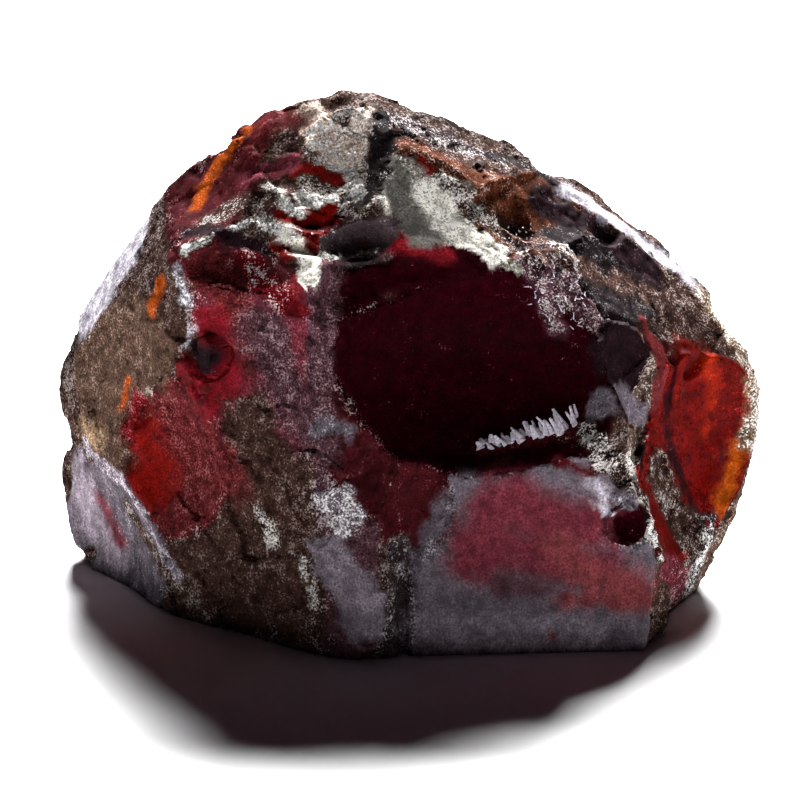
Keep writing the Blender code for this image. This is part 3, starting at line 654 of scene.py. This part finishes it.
anyTurn = (6.28, 6.28, 6.28)  # the most that a crumb turns about each axis, in radians
crumbSet = {
    "Crumbs": 34.0,          # in each square millimetre of the whitest crust
    "Frost From": 0.35,      # where the frost is thinner, there are none
    "Smallest": 0.03,
    "Largest": 0.10,
    "Crumb Frost": 0.8,
    "Seed": 11,
}

# Small slanted splinters along a curve: where it runs, how many, and the way they lean.
hackleSet = {
    "Start": (2.6, -6.2, 7.7), "Middle": (4.6, -5.85, 8.0), "End": (6.6, -6.3, 8.6),
    "Teeth": 44, "Short": 0.25, "Long": 0.95, "Thick": 0.15, "Flat": 0.4, "Scatter": 0.16,
    "Lean": (-0.5, 0.35, 0.8), "Wobble": 0.3, "Pale": 0.45, "Seed": 0,
}
spraySet = {
    "Start": (4.0, -3.4, 15.2), "Middle": (5.4, -5.0, 14.2), "End": (6.4, -4.2, 12.4),
    "Teeth": 260, "Short": 0.08, "Long": 0.3, "Thick": 0.028, "Flat": 0.7, "Scatter": 0.75,
    "Lean": (-0.1, -0.3, 0.8), "Wobble": 0.8, "Pale": 0.5, "Seed": 0,
}
splinterSet = {
    "sides": 6,
    "tip": 0.3,                   # its width there, as a share of its foot's
    "lengths": (0.7, 1.15),       # shares of what the place on the curve gives
    "thicknesses": (0.7, 1.3),
    "tint": (0.95, 0.86, 1.0),    # what a splinter's paleness is multiplied by
}


def wire(tree, source, target):
    if hasattr(source, "links"):
        tree.links.new(source, target)
    else:
        target.default_value = source


def addNode(tree, kind, inputs=(), **settings):
    made = tree.nodes.new(kind)
    for name, value in settings.items():
        setattr(made, name, value)
    for socket, value in dict(inputs).items():
        wire(tree, value, made.inputs[socket])
    return made


def figure(tree, operation, *values):
    return addNode(tree, "ShaderNodeMath", enumerate(values), operation=operation).outputs[0]


def times(tree, first, *others):
    for other in others:
        first = figure(tree, "MULTIPLY", first, other)
    return first


def plus(tree, first, *others):
    for other in others:
        first = figure(tree, "ADD", first, other)
    return first


def spread(tree, value, fromLow, fromHigh, toLow=0.0, toHigh=1.0):
    ends = {"Value": value, "From Min": fromLow, "From Max": fromHigh, "To Min": toLow, "To Max": toHigh}
    return addNode(tree, "ShaderNodeMapRange", ends).outputs["Result"]


def vectorFigure(tree, operation, first, second):
    made = addNode(tree, "ShaderNodeVectorMath", {0: first, 1: second}, operation=operation)
    return made.outputs["Value" if operation == "DOT_PRODUCT" else "Vector"]


def scaled(tree, vector, share):
    return addNode(tree, "ShaderNodeVectorMath", {0: vector, "Scale": share}, operation="SCALE").outputs[0]


def randomValue(tree, low, high, seed=0, kind="FLOAT"):
    first, output = (0, 0) if kind == "FLOAT_VECTOR" else (2, 1)
    inputs = {first: low, first + 1: high, "Seed": seed}
    return addNode(tree, "FunctionNodeRandomValue", inputs, data_type=kind).outputs[output]


def named(tree, name):
    made = addNode(tree, "GeometryNodeInputNamedAttribute", {"Name": name}, data_type="FLOAT")
    return made.outputs["Attribute"]


def storeIn(tree, geometry, name, value):
    kind = "FLOAT_COLOR" if name == "ground" else "FLOAT"
    inputs = {"Geometry": geometry, "Name": name, "Value": value}
    return addNode(tree, "GeometryNodeStoreNamedAttribute", inputs, data_type=kind).outputs[0]


def startTree(name, settings):
    tree = bpy.data.node_groups.new(name, "GeometryNodeTree")
    tree.interface.new_socket("Geometry", in_out="INPUT", socket_type="NodeSocketGeometry")
    kinds = {int: "NodeSocketInt", float: "NodeSocketFloat", tuple: "NodeSocketVector"}
    for label, value in settings.items():
        tree.interface.new_socket(label, in_out="INPUT", socket_type=kinds[type(value)])
    tree.interface.new_socket("Material", in_out="INPUT", socket_type="NodeSocketMaterial")
    tree.interface.new_socket("Geometry", in_out="OUTPUT", socket_type="NodeSocketGeometry")
    return tree, tree.nodes.new("NodeGroupInput").outputs


def realOf(tree, geometry):
    return addNode(tree, "GeometryNodeRealizeInstances", {0: geometry}).outputs[0]


def endTree(tree, given, *parts):
    both = addNode(tree, "GeometryNodeJoinGeometry")
    for part in parts:
        wire(tree, part, both.inputs[0])
    dress = addNode(tree, "GeometryNodeSetMaterial",
                    {"Geometry": realOf(tree, both.outputs[0]), "Material": given["Material"]})
    tree.links.new(dress.outputs[0], tree.nodes.new("NodeGroupOutput").inputs[0])
    return tree


def runTree(piece, tree, settings, material):
    made = piece.modifiers.new(tree.name, "NODES")
    made.node_group = tree
    sockets = {item.name: item.identifier for item in tree.interface.items_tree if item.in_out == "INPUT"}
    for name, value in settings.items():
        made[sockets[name]] = value
    made[sockets["Material"]] = material
    settle(piece)


def reliefTree():
    tree, given = startTree("brokenRelief", reliefSet)
    place = scaled(tree, addNode(tree, "GeometryNodeInputPosition").outputs[0], 1 / mm)
    shift = addNode(tree, "ShaderNodeCombineXYZ", {0: given["Seed"]})
    seeded = vectorFigure(tree, "ADD", place, shift.outputs[0])
    halfway = (0.5, 0.5, 0.5)

    def inCells(size):
        return scaled(tree, seeded, figure(tree, "DIVIDE", 1.0, size))

    def noise(size, detail, output=0):
        inputs = {"Vector": inCells(size), "Scale": 1.0, "Detail": detail}
        return addNode(tree, "ShaderNodeTexNoise", inputs).outputs[output]

    def tiltedFacets(kind):
        # Each cell is one flat facet, tilted its own way.
        size, tilt = given[kind + " Size"], given[kind + " Tilt"]
        bent = vectorFigure(tree, "SUBTRACT", noise(size, 1.0, 1), halfway)
        spot = vectorFigure(tree, "ADD", inCells(size), scaled(tree, bent, given["Cell Bend"]))
        cell = addNode(tree, "ShaderNodeTexVoronoi", {"Vector": spot, "Scale": 1.0}).outputs
        local = vectorFigure(tree, "SUBTRACT", spot, cell["Position"])
        lean = vectorFigure(tree, "SUBTRACT", cell["Color"], halfway)
        level = vectorFigure(tree, "DOT_PRODUCT", lean, local)
        return times(tree, level, 2.0, times(tree, size, tilt))

    broken, ridge, frost = (named(tree, name) for name in ("broken", "ridge", "frost"))
    rise = plus(tree, tiltedFacets("Slab"), tiltedFacets("Step"))
    chips = times(tree, tiltedFacets("Chip"), figure(tree, "MAXIMUM", broken, ridge))
    rise = plus(tree, times(tree, rise, broken), chips)
    grain = figure(tree, "SUBTRACT", noise(given["Grain Size"], 3.0), 0.5)
    grain = times(tree, grain, times(tree, given["Grain Height"], 2.0))
    loose = figure(tree, "MINIMUM", plus(tree, frost, given["Grain Least"]), 1.0)
    rise = plus(tree, rise, times(tree, grain, loose))
    wear = times(tree, ridge, given["Ridge Wear"], noise(given["Step Size"], 2.0))
    rise = figure(tree, "SUBTRACT", rise, wear)
    # Arcs that spread from where each scar was struck.
    turn = times(tree, figure(tree, "DIVIDE", named(tree, "reach"), given["Ripple Spacing"]), 2 * math.pi)
    turn = plus(tree, turn, times(tree, noise(given["Slab Size"], 1.0), given["Ripple Wander"]))
    arcs = times(tree, figure(tree, "SINE", turn), times(tree, named(tree, "ripple"), given["Ripple Height"]))
    rise = plus(tree, rise, arcs)
    # The base stays flat, and nothing is pushed below it.
    height = addNode(tree, "ShaderNodeSeparateXYZ", {0: place}).outputs[2]
    free = spread(tree, height, given["Base Still"], given["Base Free"])
    normal = addNode(tree, "GeometryNodeInputNormal").outputs[0]
    offset = scaled(tree, normal, times(tree, rise, free, mm))
    moved = addNode(tree, "GeometryNodeSetPosition", {"Geometry": given["Geometry"], "Offset": offset})
    return endTree(tree, given, moved.outputs[0])


def crumbTree():
    tree, given = startTree("looseCrumbs", crumbSet)
    thick = figure(tree, "MAXIMUM", figure(tree, "SUBTRACT", named(tree, "frost"), given["Frost From"]), 0.0)
    often = times(tree, thick, named(tree, "snow"), given["Crumbs"], 1 / mm**2)
    scatter = addNode(tree, "GeometryNodeDistributePointsOnFaces",
                      {"Mesh": given["Geometry"], "Density": often, "Seed": given["Seed"]})
    crumb = addNode(tree, "GeometryNodeMeshIcoSphere", {"Radius": 1.0, "Subdivisions": 1})
    small, large = (scaled(tree, (mm, mm, mm), given[name]) for name in ("Smallest", "Largest"))
    put = addNode(tree, "GeometryNodeInstanceOnPoints", {
        "Points": scatter.outputs["Points"], "Instance": crumb.outputs[0],
        "Rotation": randomValue(tree, (0, 0, 0), anyTurn, 0, "FLOAT_VECTOR"),
        "Scale": randomValue(tree, small, large, 0, "FLOAT_VECTOR")})
    flat = addNode(tree, "GeometryNodeSetShadeSmooth",
                   {"Geometry": realOf(tree, put.outputs[0]), "Shade Smooth": False})
    kept = storeIn(tree, flat.outputs[0], "frost", given["Crumb Frost"])
    return endTree(tree, given, storeIn(tree, kept, "veil", 1.0), given["Geometry"])


def splinterTree(name, settings):
    tree, given = startTree(name, settings)

    def random(order, low, high, kind="FLOAT"):
        return randomValue(tree, low, high, plus(tree, given["Seed"], order), kind)

    def anyWay(order):
        return random(order, (-1, -1, -1), (1, 1, 1), "FLOAT_VECTOR")

    corners = {point: scaled(tree, given[point], mm) for point in ("Start", "Middle", "End")}
    route = addNode(tree, "GeometryNodeCurveQuadraticBezier", corners)
    spots = addNode(tree, "GeometryNodeCurveToPoints", {"Curve": route.outputs[0], "Count": given["Teeth"]})
    loose = scaled(tree, anyWay(1), times(tree, given["Scatter"], mm))
    shifted = addNode(tree, "GeometryNodeSetPosition", {"Geometry": spots.outputs[0], "Offset": loose})
    tooth = addNode(tree, "GeometryNodeMeshCone",
                    {"Vertices": splinterSet["sides"], "Radius Top": splinterSet["tip"],
                     "Radius Bottom": 1.0, "Depth": 1.0})
    share = figure(tree, "DIVIDE", addNode(tree, "GeometryNodeInputIndex").outputs[0], given["Teeth"])
    longer = figure(tree, "SUBTRACT", given["Long"], given["Short"])
    length = plus(tree, given["Short"], times(tree, longer, share))
    length = times(tree, length, random(2, *splinterSet["lengths"]))
    thick = times(tree, given["Thick"], random(3, *splinterSet["thicknesses"]))
    size = addNode(tree, "ShaderNodeCombineXYZ", {0: thick, 1: times(tree, thick, given["Flat"]), 2: length})
    way = vectorFigure(tree, "ADD", given["Lean"], scaled(tree, anyWay(4), given["Wobble"]))
    put = addNode(tree, "GeometryNodeInstanceOnPoints", {
        "Points": shifted.outputs[0], "Instance": tooth.outputs["Mesh"],
        "Rotation": addNode(tree, "FunctionNodeAlignRotationToVector", {"Vector": way}).outputs[0],
        "Scale": scaled(tree, size.outputs[0], mm)})
    kept = storeIn(tree, realOf(tree, put.outputs[0]), "veil", 1.0)
    pale = {axis: times(tree, given["Pale"], part) for axis, part in enumerate(splinterSet["tint"])}
    kept = storeIn(tree, kept, "ground", addNode(tree, "ShaderNodeCombineXYZ", pale).outputs[0])
    return endTree(tree, given, kept, given["Geometry"])


def trianglesOf(mesh):
    mesh.calc_loop_triangles()
    return len(mesh.loop_triangles)


def roughenStone(stone, material):
    runTree(stone, reliefTree(), reliefSet, material)
    made = trianglesOf(stone.data)
    print("relief:", made, "triangles")
    fewer = stone.modifiers.new("fewer", "DECIMATE")
    fewer.ratio = min(1.0, facesKept / made)
    fewer.use_collapse_triangulate = True
    settle(stone)
    stone.data.shade_smooth()
    stone.data.set_sharp_from_angle(angle=math.radians(sharpFrom))
    runTree(stone, crumbTree(), crumbSet, material)
    print("crumbs:", trianglesOf(stone.data), "triangles with them")
    for name, settings in (("hackle", hackleSet), ("spray", spraySet)):
        runTree(stone, splinterTree(name, settings), settings, material)
    print("stone:", trianglesOf(stone.data), "triangles in all")


garnetSet = {
    "ior": 1.76,
    "clearColour": (0.52, 0.10, 0.13, 1.0),   # what each half millimetre lets through, about
    "density": 2000.0,
    "glassColour": (0.8, 0.14, 0.12, 1.0),
    "polished": 0.04,
    "satinRoughness": 0.5,
    "grainLift": 2.7,        # how much paler a grain is than its ground
    "grainSnow": (0.86, 0.84, 0.82, 1.0),
    "crustRoughness": 0.85,
    "smoothRoughness": 0.5,
    "crustSpecular": 0.012,
    "speck": 0.085,          # sizes of the pattern, in millimetres
    "clusters": 0.5,
    "drifts": 2.0,
    "noiseDetail": 3.0,
    "noiseRoughness": 0.65,
    "lineTurn": 38,          # degrees
    "lineStretch": (1.6, 0.9, 0.3),
    "grainMix": (0.5, 0.32, 0.18),   # shares of speck, clusters and drifts
    "grainCut": (0.66, 0.34),        # the level that a grain needs, with no frost and with full frost
    "grainEdge": (-0.02, 0.035),
    "roughBy": 0.35,                 # the frost at which the ground is fully rough
    "smoothMottle": 0.5,
    "bumpDepth": 0.03,
    "bumpStrength": 0.8,
    "grainHeight": 0.6,              # how far a grain stands out in the bump
    # Each of these takes a pattern from its first two values to the last two.
    "fineMottle": (0.34, 0.66, 0.12, 1.88),
    "broadMottle": (0.34, 0.66, 0.4, 1.6),
    "drawnLines": (0.35, 0.65, -0.75, 1.1),
    "grainShade": (0.42, 0.68, 0.35, 1.25),
    "solidDrift": (0.3, 0.6, 1.0, 1.25),
}


def coverMask(tree, name, output="Fac"):
    return addNode(tree, "ShaderNodeAttribute", attribute_name=name).outputs[output]


def mixColour(tree, share, first, second, blend="MIX"):
    made = addNode(tree, "ShaderNodeMix", data_type="RGBA", blend_type=blend)
    for socket, value in (("Factor", share), (6, first), (7, second)):
        wire(tree, value, made.inputs[socket])
    return made.outputs[2]


def shaderNoise(tree, size, turn=None, stretch=None):
    place = addNode(tree, "ShaderNodeTexCoord").outputs["Object"]
    if turn:
        inputs = {"Vector": place, "Rotation": turn, "Scale": stretch}
        place = addNode(tree, "ShaderNodeMapping", inputs).outputs[0]
    inputs = {"Vector": place, "Scale": 1 / (size * mm),
              "Detail": garnetSet["noiseDetail"], "Roughness": garnetSet["noiseRoughness"]}
    return addNode(tree, "ShaderNodeTexNoise", inputs).outputs[0]


def garnetMaterial():
    made = bpy.data.materials.new("garnet")
    made.use_nodes = True
    tree = made.node_tree
    out = tree.nodes["Material Output"]
    glass = tree.nodes["Principled BSDF"]
    crust = tree.nodes.new("ShaderNodeBsdfPrincipled")
    veil, frost, snow, satin, streak = (coverMask(tree, name) for name in coverNames[:5])
    # This ground colour carries the stone's own colour and also the painted glow, reflections, highlights and
    # shade.
    groundAndPaintedLight = coverMask(tree, "ground", "Color")
    speck, clusters, drifts = (shaderNoise(tree, garnetSet[name]) for name in ("speck", "clusters", "drifts"))
    lineTurn = (0, math.radians(garnetSet["lineTurn"]), 0)
    lines = shaderNoise(tree, garnetSet["clusters"], lineTurn, garnetSet["lineStretch"])

    dulled = spread(tree, satin, 0.0, 1.0, garnetSet["polished"], garnetSet["satinRoughness"])
    for name, value in (("Base Color", garnetSet["glassColour"]), ("IOR", garnetSet["ior"]),
                        ("Transmission Weight", 1.0), ("Roughness", dulled)):
        wire(tree, value, glass.inputs[name])

    # Loose grains: more of them where the frost is thick, in clusters and drifts.
    parts = zip((speck, clusters, drifts), garnetSet["grainMix"])
    level = plus(tree, *[times(tree, pattern, share) for pattern, share in parts])
    cut = spread(tree, frost, 0.0, 1.0, *garnetSet["grainCut"])
    grains = spread(tree, figure(tree, "SUBTRACT", level, cut), *garnetSet["grainEdge"])

    # The ground between them is mottled, and less so where it is smooth.
    mottle = times(tree, spread(tree, speck, *garnetSet["fineMottle"]),
                   spread(tree, clusters, *garnetSet["broadMottle"]))
    rough = spread(tree, frost, 0.0, garnetSet["roughBy"])
    strength = spread(tree, rough, 0.0, 1.0, garnetSet["smoothMottle"], 1.0)
    mottle = plus(tree, 1.0, times(tree, figure(tree, "SUBTRACT", mottle, 1.0), strength))
    drawn = times(tree, streak, spread(tree, lines, *garnetSet["drawnLines"]))
    mottle = times(tree, mottle, plus(tree, drawn, 1.0))
    ground = mixColour(tree, 1.0, groundAndPaintedLight, mottle, "MULTIPLY")
    lift = garnetSet["grainLift"]
    grainColour = mixColour(tree, 1.0, groundAndPaintedLight, (lift, lift, lift, 1.0), "MULTIPLY")
    grainColour = mixColour(tree, snow, grainColour, garnetSet["grainSnow"])
    grainColour = mixColour(tree, 1.0, grainColour, spread(tree, speck, *garnetSet["grainShade"]), "MULTIPLY")
    crustColour = mixColour(tree, grains, ground, grainColour)
    crustRoughness = spread(tree, rough, 0.0, 1.0, garnetSet["smoothRoughness"], garnetSet["crustRoughness"])
    height = plus(tree, times(tree, grains, garnetSet["grainHeight"]), times(tree, speck, frost))
    bump = addNode(tree, "ShaderNodeBump", {
        "Distance": garnetSet["bumpDepth"] * mm, "Strength": garnetSet["bumpStrength"], "Height": height})
    for name, value in (("Base Color", crustColour), ("Roughness", crustRoughness),
                        ("Specular IOR Level", garnetSet["crustSpecular"]), ("Normal", bump.outputs[0])):
        wire(tree, value, crust.inputs[name])

    solid = times(tree, veil, spread(tree, clusters, *garnetSet["solidDrift"]))
    covered = figure(tree, "MINIMUM", figure(tree, "MAXIMUM", grains, solid), 1.0)
    both = addNode(tree, "ShaderNodeMixShader", {0: covered, 1: glass.outputs[0], 2: crust.outputs[0]})
    tree.links.new(both.outputs[0], out.inputs["Surface"])
    inside = addNode(tree, "ShaderNodeVolumeAbsorption",
                     {"Color": garnetSet["clearColour"], "Density": garnetSet["density"]})
    tree.links.new(inside.outputs["Volume"], out.inputs["Volume"])
    return made


roughenStone(stone, garnetMaterial())

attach(stone, "root")
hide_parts(stoneNode)

studioSet = {
    "floorHalf": 1.5,
    "floorColour": (0.86, 0.86, 0.87, 1.0),
    "floorRoughness": 0.9,
    "floorSpecular": 0.1,
    "keyTurn": 6.0,         # degrees towards the right of straight behind
    "keyRise": 43.0,
    "keyAway": 0.5,
    "keyAim": 8.0,          # millimetres above the floor
    "keySize": (0.24, 0.16),
    "keyPower": 23.0,
    "airColour": (1.0, 0.6, 0.8, 1.0),
    "airStrength": 0.006,
}


def addFloor():
    half = studioSet["floorHalf"]
    mesh = bpy.data.meshes.new("floor")
    corners = [(-half, -half, 0), (half, -half, 0), (half, half, 0), (-half, half, 0)]
    mesh.from_pydata(corners, [], [(0, 1, 2, 3)])
    floor = bpy.data.objects.new("floor", mesh)
    bpy.context.scene.collection.objects.link(floor)
    paper = bpy.data.materials.new("palePaper")
    paper.use_nodes = True
    shader = paper.node_tree.nodes["Principled BSDF"]
    shader.inputs["Base Color"].default_value = studioSet["floorColour"]
    shader.inputs["Roughness"].default_value = studioSet["floorRoughness"]
    shader.inputs["Specular IOR Level"].default_value = studioSet["floorSpecular"]
    mesh.materials.append(paper)
    floor.visible_glossy = False  # keeps the paper out of the stone's reflections


def addKey():
    turn, rise = math.radians(studioSet["keyTurn"]), math.radians(studioSet["keyRise"])
    panel = bpy.data.lights.new("key", "AREA")
    panel.shape = "RECTANGLE"
    panel.size, panel.size_y = studioSet["keySize"]
    panel.energy = studioSet["keyPower"]
    lamp = bpy.data.objects.new("key", panel)
    out = Vector((math.sin(turn) * math.cos(rise), math.cos(turn) * math.cos(rise), math.sin(rise)))
    lamp.location = out * studioSet["keyAway"] + Vector((0, 0, studioSet["keyAim"] * mm))
    lamp.rotation_euler = out.to_track_quat("Z", "Y").to_euler()
    bpy.context.scene.collection.objects.link(lamp)


def addAir():
    world = bpy.data.worlds.new("air")
    world.use_nodes = True
    back = world.node_tree.nodes["Background"]
    back.inputs["Color"].default_value = studioSet["airColour"]
    back.inputs["Strength"].default_value = studioSet["airStrength"]
    bpy.context.scene.world = world


cameraSet = {
    "lens": 180.0,
    "sensor": 36.0,
    "clipStart": 0.002,     # metres
    "rise": 20.0,           # degrees
    "away": 159.5,          # millimetres
    "looksAt": (-0.34, 0.0, 7.69),
}


def addCamera():
    rise = math.radians(cameraSet["rise"])
    ahead = Vector((0, math.cos(rise), -math.sin(rise)))
    target = Vector(cameraSet["looksAt"]) + Vector(numbersToFrame)
    camera = bpy.data.objects.new("camera", bpy.data.cameras.new("camera"))
    camera.data.lens = cameraSet["lens"]
    camera.data.sensor_width = cameraSet["sensor"]
    camera.data.clip_start = cameraSet["clipStart"]
    camera.location = (target - ahead * cameraSet["away"]) * mm
    camera.rotation_euler = ahead.to_track_quat("-Z", "Y").to_euler()
    bpy.context.scene.collection.objects.link(camera)
    bpy.context.scene.camera = camera


addFloor()
addKey()
addAir()
addCamera()
bpy.context.scene.view_settings.view_transform = "Standard"
print("studio: floor, key light, air and camera")
